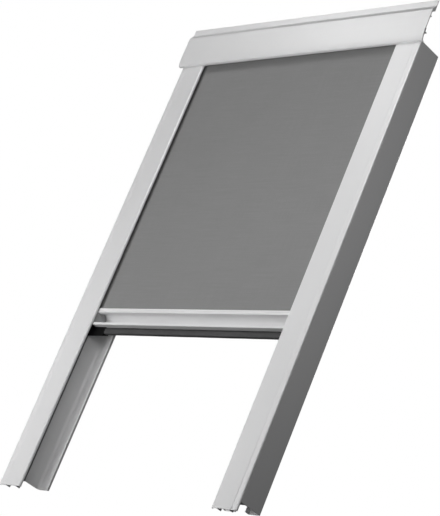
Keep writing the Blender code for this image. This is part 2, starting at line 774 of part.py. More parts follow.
def make_bar_cap(side, name, collection):
    slot_front = MESH_Y - MESH_SLOT / 2
    slot_back = MESH_Y + MESH_SLOT / 2
    section = [
        (BAR_FRONT, BAR_BASE, CAP_CORNER),
        (BAR_FRONT, BAR_TOP, CAP_CORNER),
        (slot_front, BAR_TOP),
        (slot_front, MESH_BOTTOM - GAP),
        (slot_back, MESH_BOTTOM - GAP),
        (slot_back, BAR_TOP),
        (BAR_BACK, BAR_TOP, BAR_DEPTH / 2),
        (BAR_BACK, BAR_BASE, CAP_CORNER),
    ]
    near = side * (BAR_HALF_LENGTH + GAP)
    cap = extrude_outline(name, [rounded_outline(section)], "X", near, side * CAP_OUTER_X, collection)
    set_finish(cap, (0.26, 0.26, 0.265), 0.55)
    return cap


def make_bar_seal(collection):
    low = SEAL_TOP - SEAL_HEIGHT
    back = SEAL_SETBACK + SEAL_DEPTH
    section = [
        (SEAL_SETBACK, low, SEAL_LOWER_CORNER),
        (SEAL_SETBACK, SEAL_TOP, SEAL_UPPER_CORNER),
        (back, SEAL_TOP, SEAL_UPPER_CORNER),
        (back, low, SEAL_LOWER_CORNER),
    ]
    outline = rounded_outline(section)
    seal = extrude_outline("bar_seal", [outline], "X", SEAL_LEFT_X, SEAL_RIGHT_X, collection)
    set_finish(seal, (0.045, 0.045, 0.047), 0.7)
    return seal


def make_guide_block(side, length, name, collection):
    back = SEAL_SETBACK + SEAL_DEPTH
    near = BLOCK_OUTER_X - length
    arm = BLOCK_OUTER_X - BLOCK_ARM_LENGTH
    tongue_x = HALF_WIDTH - INNER_LEG_INSET - BLOCK_TONGUE_CLEARANCE
    tongue_back = BLOCK_TONGUE_FRONT + BLOCK_TONGUE_WIDTH
    section = [
        (near, SEAL_SETBACK),
        (arm, SEAL_SETBACK),
        (arm, BLOCK_TONGUE_FRONT),
        (tongue_x, BLOCK_TONGUE_FRONT),
        (tongue_x, tongue_back),
        (BLOCK_OUTER_X, tongue_back),
        (BLOCK_OUTER_X, back),
        (near, back),
    ]
    outline = [(side * place[0], place[1]) for place in section]
    block = extrude_outline(name, [outline], "Z", SEAL_TOP - SEAL_HEIGHT, SEAL_TOP, collection)
    set_finish(block, BLACK, 0.5)
    return block


def make_guide(name, place, collection):
    guide = bpy.data.objects.new(name, None)
    guide.location = place
    collection.objects.link(guide)
    return guide


def build():
    clear_scene()
    parts = make_collection("roof_window_mesh_blind")
    cutters = make_collection("cutters")

    bar_guide = make_guide("bar_slide_guide", (0.0, MESH_Y, BAR_BASE), parts)
    roller_axis = make_guide("roller_axis", (0.0, ROLLER_SETBACK, ROLLER_HEIGHT), parts)

    for side_name, side, block_length in (("left", -1, LEFT_BLOCK_LENGTH), ("right", 1, RIGHT_BLOCK_LENGTH)):
        make_base_rail(side, side_name + "_base_rail", parts, cutters)
        make_cover(side, side_name + "_front_cover", parts)
        make_pile_strip(side, side_name + "_pile_strip", parts)
        make_bracket(side, side_name + "_end_bracket", parts, cutters)
        make_fascia_clip(side, side_name + "_fascia_clip", parts)
        for place_name, inset in zip(("outer", "inner"), SCREW_INSETS):
            make_bracket_screw(side, inset, f"{side_name}_{place_name}_bracket_screw", parts)
        attach(make_bar_cap(side, side_name + "_bar_cap", parts), bar_guide)
        attach(make_guide_block(side, block_length, side_name + "_guide_block", parts), bar_guide)

    make_fascia(parts)
    make_casing(parts)
    make_pin("spring_shaft", "-X", SHAFT_LENGTH, parts)
    make_pin("idler_pin", "X", IDLER_LENGTH, parts)
    make_torsion_spring(parts)
    make_spring_collar(parts)
    for piece in make_roller(parts):
        attach(piece, roller_axis)
    for piece in (make_bottom_bar(parts), make_mesh_rod(parts), make_bar_seal(parts), make_mesh_screen(parts)):
        attach(piece, bar_guide)


build()
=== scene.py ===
import math
import random

import bmesh
import bpy
from mathutils import Matrix, Vector


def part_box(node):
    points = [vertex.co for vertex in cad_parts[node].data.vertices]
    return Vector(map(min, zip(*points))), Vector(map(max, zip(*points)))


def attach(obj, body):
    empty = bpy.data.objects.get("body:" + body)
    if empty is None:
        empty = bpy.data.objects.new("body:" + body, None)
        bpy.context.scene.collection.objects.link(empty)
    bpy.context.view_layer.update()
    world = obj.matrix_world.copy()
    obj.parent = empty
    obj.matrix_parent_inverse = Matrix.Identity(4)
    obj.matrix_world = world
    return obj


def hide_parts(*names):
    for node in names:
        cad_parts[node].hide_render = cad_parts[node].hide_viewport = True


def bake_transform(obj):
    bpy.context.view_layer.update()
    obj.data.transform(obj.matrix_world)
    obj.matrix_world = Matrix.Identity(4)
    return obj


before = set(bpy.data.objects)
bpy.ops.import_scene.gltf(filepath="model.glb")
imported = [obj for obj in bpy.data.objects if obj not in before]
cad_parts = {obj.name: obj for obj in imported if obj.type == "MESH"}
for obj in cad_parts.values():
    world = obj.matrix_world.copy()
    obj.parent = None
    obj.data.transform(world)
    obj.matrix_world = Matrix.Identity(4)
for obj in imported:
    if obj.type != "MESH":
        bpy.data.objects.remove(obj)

random.seed(7)
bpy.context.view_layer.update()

# the photo's camera; right, down and forward are the picture's own directions in the model's axes
photoCamera = {
    "place": (2.39915, -1.96882, -0.76200),
    "right": (0.6950537, 0.6226551, 0.3594453),
    "down": (-0.0091287, 0.5075560, -0.8615704),
    "forward": (-0.7188999, 0.5955564, 0.3584627),
    "lens": 144.56,
    "sensor": 36,
    "nearest": 0.05,
    "farthest": 60,
}


# material helpers: every pattern is in metres on the piece's own coordinates. In each look a Tone
# multiplies the colour, a Bump is its strength and its height in metres, and a Share is how much is mixed
# in, lowest and highest, and then the pattern's values between which it rises

def newMaterial(name):
    material = bpy.data.materials.new(name)
    material.use_nodes = True
    tree = material.node_tree
    return material, tree, tree.nodes["Principled BSDF"]


def setInput(shader, name, value):
    shader.inputs[name].default_value = value


def objectPlace(tree):
    return tree.nodes.new("ShaderNodeTexCoord").outputs["Object"]


def noiseOf(tree, place, size, detail=2.0, stretch=(1, 1, 1)):
    mapping = tree.nodes.new("ShaderNodeMapping")
    mapping.inputs["Scale"].default_value = [part / size for part in stretch]
    tree.links.new(place, mapping.inputs["Vector"])
    texture = tree.nodes.new("ShaderNodeTexNoise")
    texture.inputs["Scale"].default_value = 1
    texture.inputs["Detail"].default_value = detail
    tree.links.new(mapping.outputs["Vector"], texture.inputs["Vector"])
    return texture.outputs["Fac"]


def spread(tree, value, low, high, fromLow=0.3, fromHigh=0.7):
    node = tree.nodes.new("ShaderNodeMapRange")
    node.inputs["From Min"].default_value = fromLow
    node.inputs["From Max"].default_value = fromHigh
    node.inputs["To Min"].default_value = low
    node.inputs["To Max"].default_value = high
    tree.links.new(value, node.inputs["Value"])
    return node.outputs["Result"]


def maths(tree, operation, first, second=0.0):
    node = tree.nodes.new("ShaderNodeMath")
    node.operation = operation
    for socket, value in zip(node.inputs, (first, second)):
        if isinstance(value, (int, float)):
            socket.default_value = value
        else:
            tree.links.new(value, socket)
    return node.outputs["Value"]


def mixColours(tree, share, first, second):
    node = tree.nodes.new("ShaderNodeMix")
    node.data_type = "RGBA"
    for socket, value in ((node.inputs[0], share), (node.inputs[6], first), (node.inputs[7], second)):
        if isinstance(value, (int, float)):
            socket.default_value = value
        elif isinstance(value, tuple):
            socket.default_value = (*value, 1.0)
        else:
            tree.links.new(value, socket)
    return node.outputs[2]


def shade(colour, factor):
    return tuple(channel * factor for channel in colour)


def mixIn(tree, colour, pattern, share, tone):
    return mixColours(tree, spread(tree, pattern, *share), colour, tone)


def addBumps(tree, shader, bumps):
    normal = None
    for height, strength, distance in bumps:
        node = tree.nodes.new("ShaderNodeBump")
        node.inputs["Strength"].default_value = strength
        node.inputs["Distance"].default_value = distance
        tree.links.new(height, node.inputs["Height"])
        if normal is not None:
            tree.links.new(normal, node.inputs["Normal"])
        normal = node.outputs["Normal"]
    tree.links.new(normal, shader.inputs["Normal"])


# powder coat over an extrusion: orange peel, faint die lines along it, a little uneven tone, fine specks
coatLook = {
    "colour": (0.80, 0.80, 0.805),
    "roughness": (0.31, 0.39),
    "gloss": 0.5,
    "peelSize": 0.0011,
    "peelBump": (0.12, 0.00006),
    "lineSize": 0.0007,
    "lineStretch": 0.01,
    "lineTone": 0.96,
    "lineShare": (0, 0.25, 0.45, 0.7),
    "lineBump": (0.10, 0.00004),
    "cloudSize": 0.06,
    "cloudTone": 0.985,
    "speckSize": 0.0021,
    "speckTone": 0.7,
    "speckShare": (0, 0.5, 0.80, 0.84),
}


def coatMaterial(name, along):
    material, tree, shader = newMaterial(name)
    place = objectPlace(tree)
    coat = coatLook["colour"]
    lengthwise = coatLook["lineStretch"]
    stretch = {"X": (lengthwise, 1, 1), "Z": (1, 1, lengthwise)}[along]
    peel = noiseOf(tree, place, coatLook["peelSize"], detail=3)
    lines = noiseOf(tree, place, coatLook["lineSize"], stretch=stretch)
    cloud = noiseOf(tree, place, coatLook["cloudSize"], detail=4)
    specks = noiseOf(tree, place, coatLook["speckSize"], detail=1)
    colour = mixIn(tree, shade(coat, coatLook["cloudTone"]), cloud, (0, 1), coat)
    colour = mixIn(tree, colour, lines, coatLook["lineShare"], shade(coat, coatLook["lineTone"]))
    colour = mixIn(tree, colour, specks, coatLook["speckShare"], shade(coat, coatLook["speckTone"]))
    tree.links.new(colour, shader.inputs["Base Color"])
    tree.links.new(spread(tree, peel, *coatLook["roughness"]), shader.inputs["Roughness"])
    setInput(shader, "Specular IOR Level", coatLook["gloss"])
    addBumps(tree, shader, [(peel, *coatLook["peelBump"]), (lines, *coatLook["lineBump"])])
    return material


# grey coated mesh: plain weave, seen as a fine grain with uneven threads
meshLook = {
    "thread": 0.0011,
    "light": (0.280, 0.280, 0.280),
    "dark": (0.187, 0.187, 0.187),
    "roughness": (0.72, 0.88),
    "sheen": 0.08,
    "gloss": 0.25,
    "threadLift": (0.25, 1.0),
    "weaveShare": (0, 1, 0.2, 0.9),
    "weaveBump": (0.5, 0.00012),
    "yarnSize": 0.0016,
    "yarnStretch": 0.02,
    "weftTone": 0.9,
    "weftShare": (0, 0.18),
    "weftBump": (0.2, 0.0001),
    "warpTone": 1.05,
    "warpShare": (0, 0.15),
    "cloudSize": 0.09,
    "cloudShare": (0, 0.10),
}


def meshMaterial(name):
    material, tree, shader = newMaterial(name)
    light = meshLook["light"]
    dark = meshLook["dark"]
    flat = tree.nodes.new("ShaderNodeUVMap")
    flat.uv_map = "flat"
    place = flat.outputs["UV"]
    axes = tree.nodes.new("ShaderNodeSeparateXYZ")
    tree.links.new(place, axes.inputs["Vector"])
    turns = math.pi / meshLook["thread"]
    across = maths(tree, "MULTIPLY", axes.outputs["X"], turns)
    along = maths(tree, "MULTIPLY", axes.outputs["Y"], turns)
    warp = maths(tree, "ABSOLUTE", maths(tree, "SINE", across))
    weft = maths(tree, "ABSOLUTE", maths(tree, "SINE", along))
    over = maths(tree, "SINE", maths(tree, "MULTIPLY", across, 0.5))
    under = maths(tree, "SINE", maths(tree, "MULTIPLY", along, 0.5))
    lowest, highest = meshLook["threadLift"]
    lift = spread(tree, maths(tree, "MULTIPLY", over, under), lowest, highest, -1, 1)
    drop = maths(tree, "SUBTRACT", lowest + highest, lift)
    weave = maths(tree, "MAXIMUM", maths(tree, "MULTIPLY", warp, lift), maths(tree, "MULTIPLY", weft, drop))
    lengthwise = meshLook["yarnStretch"]
    weftYarn = noiseOf(tree, place, meshLook["yarnSize"], stretch=(lengthwise, 1, 1))
    warpYarn = noiseOf(tree, place, meshLook["yarnSize"], stretch=(1, lengthwise, 1))
    cloud = noiseOf(tree, place, meshLook["cloudSize"], detail=3)
    colour = mixIn(tree, dark, weave, meshLook["weaveShare"], light)
    colour = mixIn(tree, colour, weftYarn, meshLook["weftShare"], shade(dark, meshLook["weftTone"]))
    colour = mixIn(tree, colour, warpYarn, meshLook["warpShare"], shade(light, meshLook["warpTone"]))
    colour = mixIn(tree, colour, cloud, meshLook["cloudShare"], light)
    tree.links.new(colour, shader.inputs["Base Color"])
    tree.links.new(spread(tree, weftYarn, *meshLook["roughness"]), shader.inputs["Roughness"])
    setInput(shader, "Sheen Weight", meshLook["sheen"])
    setInput(shader, "Specular IOR Level", meshLook["gloss"])
    addBumps(tree, shader, [(weave, *meshLook["weaveBump"]), (weftYarn, *meshLook["weftBump"])])
    return material


# closed-cell foam rubber, with painted shade darkening a narrow band close under the bar
foamLook = {
    "colour": (0.060, 0.060, 0.061),
    "roughness": (0.62, 0.80),
    "gloss": 0.35,
    "cellSize": 0.0009,
    "cellTone": 0.6,
    "cellShare": (0, 0.6),
    "cellBump": (0.35, 0.00015),
    "rubSize": 0.012,
    "rubStretch": 0.2,
    "rubTone": 1.35,
    "rubShare": (0, 0.6, 0.45, 0.7),
    "paintedShadeBand": 0.0036,
    "paintedShadeTone": 0.35,
}


def foamMaterial(name):
    material, tree, shader = newMaterial(name)
    place = objectPlace(tree)
    cells = noiseOf(tree, place, foamLook["cellSize"], detail=3)
    rub = noiseOf(tree, place, foamLook["rubSize"], detail=4, stretch=(foamLook["rubStretch"], 1, 1))
    foam = foamLook["colour"]
    colour = mixIn(tree, foam, cells, foamLook["cellShare"], shade(foam, foamLook["cellTone"]))
    colour = mixIn(tree, colour, rub, foamLook["rubShare"], shade(foam, foamLook["rubTone"]))
    axes = tree.nodes.new("ShaderNodeSeparateXYZ")
    tree.links.new(place, axes.inputs["Vector"])
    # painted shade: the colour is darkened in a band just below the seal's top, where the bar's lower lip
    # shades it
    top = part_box("bar_seal")[1][2]
    band = maths(tree, "GREATER_THAN", axes.outputs["Z"], top - foamLook["paintedShadeBand"])
    colour = mixColours(tree, band, colour, shade(foam, foamLook["paintedShadeTone"]))
    tree.links.new(colour, shader.inputs["Base Color"])
    tree.links.new(spread(tree, rub, *foamLook["roughness"]), shader.inputs["Roughness"])
    setInput(shader, "Specular IOR Level", foamLook["gloss"])
    addBumps(tree, shader, [(cells, *foamLook["cellBump"])])
    return material


# moulded plastic with a spark-eroded grain and faint flow marks
plasticLook = {
    "grainSize": 0.0006,
    "grainBump": (0.30, 0.00008),
    "flowSize": 0.014,
    "flowTones": (0.92, 1.06),
    "roughnessPlay": (-0.06, 0.08),
}


def plasticMaterial(name, colour, roughness, gloss=0.5):
    material, tree, shader = newMaterial(name)
    place = objectPlace(tree)
    grain = noiseOf(tree, place, plasticLook["grainSize"])
    flow = noiseOf(tree, place, plasticLook["flowSize"], detail=3)
    darkTone, lightTone = plasticLook["flowTones"]
    tone = mixIn(tree, shade(colour, darkTone), flow, (0, 1), shade(colour, lightTone))
    tree.links.new(tone, shader.inputs["Base Color"])
    smoothest, roughest = [roughness + play for play in plasticLook["roughnessPlay"]]
    tree.links.new(spread(tree, grain, smoothest, roughest), shader.inputs["Roughness"])
    setInput(shader, "Specular IOR Level", gloss)
    addBumps(tree, shader, [(grain, *plasticLook["grainBump"])])
    return material


# bare metal with drawing lines along one axis
metalLook = {
    "lineSize": 0.0004,
    "lineStretch": 0.02,
    "lineBump": (0.25, 0.00005),
    "stainSize": 0.006,
    "stainTone": 0.78,
    "stainShare": (0, 1, 0.35, 0.7),
    "roughnessPlay": (-0.05, 0.12),
}


def metalMaterial(name, colour, roughness, along):
    material, tree, shader = newMaterial(name)
    place = objectPlace(tree)
    lengthwise = metalLook["lineStretch"]
    stretch = {"X": (lengthwise, 1, 1), "Y": (1, lengthwise, 1)}[along]
    lines = noiseOf(tree, place, metalLook["lineSize"], stretch=stretch)
    stain = noiseOf(tree, place, metalLook["stainSize"], detail=4)
    tone = mixIn(tree, colour, stain, metalLook["stainShare"], shade(colour, metalLook["stainTone"]))
    tree.links.new(tone, shader.inputs["Base Color"])
    smoothest, roughest = [roughness + play for play in metalLook["roughnessPlay"]]
    tree.links.new(spread(tree, lines, smoothest, roughest), shader.inputs["Roughness"])
    setInput(shader, "Metallic", 1.0)
    addBumps(tree, shader, [(lines, *metalLook["lineBump"])])
    return material


# dense brush pile of light and dark strands
strandLook = {
    "dark": (0.10, 0.10, 0.105),
    "light": (0.26, 0.26, 0.27),
    "roughness": (0.85, 0.98),
    "sheen": 0.3,
    "size": 0.0005,
    "bump": (0.5, 0.0002),
}


def pileMaterial(name):
    material, tree, shader = newMaterial(name)
    place = objectPlace(tree)
    strands = noiseOf(tree, place, strandLook["size"])
    tone = mixIn(tree, strandLook["dark"], strands, (0, 1), strandLook["light"])
    tree.links.new(tone, shader.inputs["Base Color"])
    tree.links.new(spread(tree, strands, *strandLook["roughness"]), shader.inputs["Roughness"])
    setInput(shader, "Sheen Weight", strandLook["sheen"])
    addBumps(tree, shader, [(strands, *strandLook["bump"])])
    return material


# the blind's finishes
railCoat = coatMaterial("railCoat", "Z")
headCoat = coatMaterial("headCoat", "X")
meshCloth = meshMaterial("meshCloth")
foamRubber = foamMaterial("foamRubber")
capPlastic = plasticMaterial("capPlastic", (0.38, 0.38, 0.385), 0.55)
bracketPlastic = plasticMaterial("bracketPlastic", (0.30, 0.31, 0.32), 0.55)
blackNylon = plasticMaterial("blackNylon", (0.012, 0.012, 0.013), 0.48)
guideNylon = plasticMaterial("guideNylon", (0.0025, 0.0025, 0.0027), 0.60, 0.08)
palePlastic = plasticMaterial("palePlastic", (0.62, 0.62, 0.62), 0.5)
zincSteel = metalMaterial("zincSteel", (0.56, 0.57, 0.58), 0.32, "Y")
shaftSteel = metalMaterial("shaftSteel", (0.50, 0.51, 0.52), 0.30, "X")
tubeMetal = metalMaterial("tubeMetal", (0.68, 0.69, 0.70), 0.30, "X")
greyPile = pileMaterial("greyPile")
print("materials made")


# mesh helpers: corners closer than mergeDistance are merged, faces that meet at less than flatBend
# radians become one, edges of more than roundedAngle degrees are rounded in roundSteps facets, and
# edges of more than sharpAngle degrees are then shaded sharp; a level cut uses the corners that lie
# within cutReach of it
mergeDistance = 0.00001
flatBend = 0.002
roundedAngle = 28
roundSteps = 2
sharpAngle = 35
cutReach = 0.000001


def newPiece(shape, name, material):
    mesh = bpy.data.meshes.new(name)
    shape.to_mesh(mesh)
    shape.free()
    mesh.shade_smooth()
    mesh.materials.append(material)
    piece = bpy.data.objects.new(name, mesh)
    bpy.context.scene.collection.objects.link(piece)
    return piece


def finishShape(shape, name, material, body, nodeName):
    piece = newPiece(shape, name, material)
    piece.data.set_sharp_from_angle(angle=math.radians(sharpAngle))
    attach(piece, body)
    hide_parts(nodeName)
    return piece


def partsOf(grown, kind):
    return [item for item in grown["geom"] if isinstance(item, kind)]


def shapeOfNode(nodeName):
    # a merged copy of the node's plain solid, with its flat faces whole again
    shape = bmesh.new()
    shape.from_mesh(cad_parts[nodeName].data)
    bmesh.ops.remove_doubles(shape, verts=shape.verts, dist=mergeDistance)
    joined = [edge for edge in shape.edges if len(edge.link_faces) == 2]
    flatEdges = [edge for edge in joined if edge.calc_face_angle() < flatBend]
    bmesh.ops.dissolve_edges(shape, edges=flatEdges, use_verts=True)
    return shape


def softenEdges(shape, width):
    joined = [edge for edge in shape.edges if len(edge.link_faces) == 2]
    sharp = [edge for edge in joined if edge.calc_face_angle() > math.radians(roundedAngle)]
    bmesh.ops.bevel(
        shape,
        geom=sharp,
        offset=width,
        offset_type="OFFSET",
        segments=roundSteps,
        profile=0.5,
        affect="EDGES",
        clamp_overlap=True,
        material=-1,
    )


def cutLevel(shape, height):
    parts = list(shape.verts) + list(shape.edges) + list(shape.faces)
    bmesh.ops.bisect_plane(shape, geom=parts, dist=cutReach, plane_co=(0, 0, height), plane_no=(0, 0, 1))


def evenNormals(piece):
    step = piece.modifiers.new("evenNormals", "WEIGHTED_NORMAL")
    step.keep_sharp = True
    step.weight = 80  # large flat faces decide the shading, and the rounded edges follow them


def dressNode(nodeName, material, body, edge):
    shape = shapeOfNode(nodeName)
    softenEdges(shape, edge)
    evenNormals(finishShape(shape, nodeName + "_look", material, body, nodeName))


# the profiles that show: edge is how far each sharp edge is rounded
profileEdges = {
    "left_base_rail": (railCoat, "frame", 0.00020),
    "right_base_rail": (railCoat, "frame", 0.00020),
    "top_fascia": (headCoat, "frame", 0.00020),
    "head_casing": (headCoat, "frame", 0.00020),
    "left_end_bracket": (bracketPlastic, "frame", 0.00025),
    "right_end_bracket": (bracketPlastic, "frame", 0.00025),
    "left_fascia_clip": (zincSteel, "frame", 0.00015),
    "right_fascia_clip": (zincSteel, "frame", 0.00015),
}

for nodeName, (material, body, edge) in profileEdges.items():
    dressNode(nodeName, material, body, edge)
print("profiles dressed")


# front covers: the skin leans forward a little towards the mesh, and its inner edge stands back from it
coverLook = {"edge": 0.00025, "lean": 0.0010, "skinDepth": 0.0048, "innerPart": 0.0060, "innerTrim": 0.0008}


def makeCover(nodeName):
    low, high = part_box(nodeName)
    outer = max(abs(low[0]), abs(high[0]))
    inner = min(abs(low[0]), abs(high[0]))
    shape = shapeOfNode(nodeName)
    for corner in shape.verts:
        place = abs(corner.co.x)
        if corner.co.y < low[1] + coverLook["skinDepth"]:
            corner.co.y -= coverLook["lean"] * (outer - place) / (outer - inner)
        if place < inner + coverLook["innerPart"]:
            corner.co.x += math.copysign(coverLook["innerTrim"], corner.co.x)
    softenEdges(shape, coverLook["edge"])
    evenNormals(finishShape(shape, nodeName + "_look", railCoat, "frame", nodeName))


makeCover("left_front_cover")
makeCover("right_front_cover")

# parts inside the head and the bar keep their plain solid and get a finish
for nodeName, material in {
    "torsion_spring": shaftSteel,
    "spring_shaft": shaftSteel,
    "idler_pin": shaftSteel,
    "spring_collar": blackNylon,
    "roller_tube": tubeMetal,
    "left_roller_plug": blackNylon,
    "right_roller_plug": blackNylon,
    "mesh_rod": palePlastic,
}.items():
    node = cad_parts[nodeName]
    node.data.materials.clear()
    node.data.materials.append(material)


# bottom bar: the fine groove along its top lip is cut a little deeper than in the plain solid;
# its floor is what lies between grooveFrom and grooveTo behind the bar's face
barLook = {"edge": 0.00020, "grooveFrom": 0.0001, "grooveTo": 0.0004, "grooveExtra": 0.0006}


def makeBar():
    low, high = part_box("bottom_bar")
    shape = shapeOfNode("bottom_bar")
    for corner in shape.verts:
        behindFace = corner.co.y - low[1]
        inGroove = barLook["grooveFrom"] < behindFace < barLook["grooveTo"]
        if inGroove and corner.co.z > (low[2] + high[2]) / 2:
            corner.co.y += barLook["grooveExtra"]
    softenEdges(shape, barLook["edge"])
    evenNormals(finishShape(shape, "bottom_bar_look", headCoat, "bar", "bottom_bar"))


# bar caps: a moulded end plate with a gusset that grows out of it towards its sloping top edge
capLook = {
    "edge": 0.00030,
    "foot": 0.0048,
    "front": 0.0012,
    "back": 0.0205,
    "frontTop": 0.0209,
    "backTop": 0.0121,
    "footRise": 0.0003,
    "slopeBack": 0.05,
    "slopeUp": 0.15,
}


def makeBarCap(side, nodeName):
    low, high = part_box(nodeName)
    shape = shapeOfNode(nodeName)
    softenEdges(shape, capLook["edge"])
    face = low[0] if side > 0 else high[0]
    corners = (
        (capLook["front"], capLook["foot"]),
        (capLook["front"], capLook["frontTop"]),
        (capLook["back"], capLook["backTop"]),
        (capLook["back"], capLook["foot"]),
    )
    ring = [shape.verts.new((face, low[1] + y, low[2] + z)) for y, z in corners]
    gusset = shape.faces.new(ring if side < 0 else list(reversed(ring)))
    grown = bmesh.ops.extrude_face_region(shape, geom=[gusset])
    for corner in partsOf(grown, bmesh.types.BMVert):
        y = corner.co.y - low[1] - capLook["front"]
        z = corner.co.z - low[2] - capLook["foot"]
        rise = capLook["footRise"] + capLook["slopeBack"] * y + capLook["slopeUp"] * z
        corner.co.x -= side * rise
    bmesh.ops.recalc_face_normals(shape, faces=shape.faces)
    evenNormals(finishShape(shape, nodeName + "_look", capPlastic, "bar", nodeName))


# guide blocks: their foot is cut on the slant, lowest at the front
blockLook = {"edge": 0.00030, "toeDrop": 0.0040, "slant": 0.56}


def makeGuideBlock(nodeName):
    low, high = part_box(nodeName)
    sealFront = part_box("bar_seal")[0][1]
    shape = shapeOfNode(nodeName)
    for corner in shape.verts:
        if corner.co.z < (low[2] + high[2]) / 2:
            corner.co.z += blockLook["slant"] * (corner.co.y - sealFront) - blockLook["toeDrop"]
    softenEdges(shape, blockLook["edge"])
    evenNormals(finishShape(shape, nodeName + "_look", guideNylon, "bar", nodeName))


makeBar()
makeBarCap(-1, "left_bar_cap")
makeBarCap(1, "right_bar_cap")
makeGuideBlock("left_guide_block")
makeGuideBlock("right_guide_block")


# foam seal under the bar: its front swells a little, a faint mould line runs along it, and its lower
# back is raised
sealLook = {
    "cuts": 90,
    "heelRise": 0.0030,
    "swell": 0.0006,
    "lineWidth": 0.0012,
    "lineDepth": 0.00025,
    "wave": 0.00012,
    "waveTurns": (37, 83),
    "edgeRows": 0.55,
    "heelFrom": -0.4,
    "faceDepth": 0.0001,
    "longEdge": 0.1,
}


def makeSeal():
    low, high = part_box("bar_seal")
    shape = shapeOfNode("bar_seal")
    middle = (low[2] + high[2]) / 2
    half = (high[2] - low[2]) / 2
    reach = sealLook["lineWidth"] / 2
    slow, fast = sealLook["waveTurns"]
    for share in (-sealLook["edgeRows"], sealLook["edgeRows"]):
        cutLevel(shape, middle + half * share)
    for level in (middle - reach, middle, middle + reach):
        cutLevel(shape, level)
    longEdges = [edge for edge in shape.edges if edge.calc_length() > sealLook["longEdge"]]
    bmesh.ops.subdivide_edges(shape, edges=longEdges, cuts=sealLook["cuts"], use_grid_fill=True)
    for corner in shape.verts:
        place = corner.co
        share = (place.z - middle) / half
        if place.y < low[1] + sealLook["faceDepth"]:
            line = max(0.0, 1 - abs(place.z - middle) / reach)
            place.y += sealLook["lineDepth"] * line + sealLook["swell"] * share * share
        if share < sealLook["heelFrom"]:
            place.z += sealLook["heelRise"] * (place.y - low[1]) / (high[1] - low[1])
        place.z += sealLook["wave"] * math.sin(place.x * slow + 1) * math.sin(place.x * fast)
    finishShape(shape, "bar_seal_look", foamRubber, "bar", "bar_seal")


makeSeal()
print("bar dressed")


# brush pile: a woven backing in the rail's groove and rows of bristle tufts that reach the mesh
pileLook = {
    "backing": 0.0006,
    "sections": 28,
    "tuftsPerSection": 26,
    "rows": 3,
    "strand": 0.00030,
    "tip": 0.00012,
    "lean": 9,
    "spacingPlay": 0.2,
    "shortest": 0.86,
    "longest": 0.97,
}


def makePileStrip(nodeName):
    # one short section of tufts is made and repeated up the rail
    low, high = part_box(nodeName)
    root = high[1] - pileLook["backing"]
    sectionLength = (high[2] - low[2]) / pileLook["sections"]
    spacing = sectionLength / pileLook["tuftsPerSection"]
    shape = bmesh.new()
    for step in range(pileLook["tuftsPerSection"]):
        for row in range(pileLook["rows"]):
            x = low[0] + (high[0] - low[0]) * (row + 0.5) / pileLook["rows"]
            play = random.uniform(-pileLook["spacingPlay"], pileLook["spacingPlay"])
            z = low[2] + spacing * (step + 0.5 + play)
            lean = math.radians(random.uniform(-pileLook["lean"], pileLook["lean"]))
            length = (root - low[1]) * random.uniform(pileLook["shortest"], pileLook["longest"])
            turn = Matrix.Rotation(math.pi / 2 + lean, 4, "X")
            bmesh.ops.create_cone(
                shape,
                segments=3,
                cap_ends=True,
                radius1=pileLook["strand"],
                radius2=pileLook["tip"],
                depth=length,
                matrix=Matrix.Translation((x, root - length / 2, z)) @ turn,
            )
    section = list(shape.verts) + list(shape.edges) + list(shape.faces)
    for number in range(1, pileLook["sections"]):
        copied = bmesh.ops.duplicate(shape, geom=section)
        corners = partsOf(copied, bmesh.types.BMVert)
        bmesh.ops.translate(shape, vec=(0, 0, sectionLength * number), verts=corners)
    backing = Matrix.Diagonal((high[0] - low[0], pileLook["backing"], high[2] - low[2], 1))
    middle = Matrix.Translation(((low[0] + high[0]) / 2, (root + high[1]) / 2, (low[2] + high[2]) / 2))
    bmesh.ops.create_cube(shape, size=1, matrix=middle @ backing)
    finishShape(shape, nodeName + "_look", greyPile, "frame", nodeName)


makePileStrip("left_pile_strip")
makePileStrip("right_pile_strip")
print("brush strips made")


# bracket screws: a pan head with a cross recess and a threaded shank
screwLook = {
    "headRound": 24,
    "headHeight": 0.0016,
    "flatTop": 0.72,
    "rimSteps": ((0.92, 0.0003), (1.0, 0.0008)),
    "crossReach": 0.0019,
    "crossHalf": 0.00042,
    "crossDepth": 0.0011,
    "crossTaper": 0.7,
    "threadDepth": 0.00035,
    "threadPitch": 0.0012,
    "threadStart": 0.25,
    "shankGap": 0.00002,
    "point": 0.2,
    "merge": 0.000002,
}


def crossOutline(shape):
    wide = screwLook["crossReach"]
    thin = screwLook["crossHalf"]
    cross = [(thin, wide), (thin, thin), (wide, thin)]
    ring = []
    for turn in range(4):
        for a, b in cross:
            ring.append(shape.verts.new((a, b, 0)))
        cross = [(b, -a) for a, b in cross]
    return [shape.edges.new((ring[step - 1], ring[step])) for step in range(len(ring))]


def makeHeadTop(shape, radius):
    # the flat top is filled round the cross, and the recess narrows to its floor
    bmesh.ops.create_circle(shape, segments=screwLook["headRound"], radius=radius * screwLook["flatTop"])
    rimEdges = list(shape.edges)
    crossEdges = crossOutline(shape)
    bmesh.ops.triangle_fill(shape, use_beauty=True, edges=rimEdges + crossEdges)
    walls = bmesh.ops.extrude_edge_only(shape, edges=crossEdges)
    taper = screwLook["crossTaper"]
    for corner in partsOf(walls, bmesh.types.BMVert):
        corner.co = (corner.co.x * taper, corner.co.y * taper, -screwLook["crossDepth"])
    bmesh.ops.contextual_create(shape, geom=partsOf(walls, bmesh.types.BMEdge))
    return rimEdges


def growRings(shape, edges, rings):
    # each ring has its reach from the screw's axis and its depth below the head's top
    for reach, depth in rings:
        grown = bmesh.ops.extrude_edge_only(shape, edges=edges)
        edges = partsOf(grown, bmesh.types.BMEdge)
        for corner in partsOf(grown, bmesh.types.BMVert):
            flat = Vector((corner.co.x, corner.co.y, 0)).normalized() * reach
            corner.co = (flat.x, flat.y, -depth)
    bmesh.ops.contextual_create(shape, geom=edges)


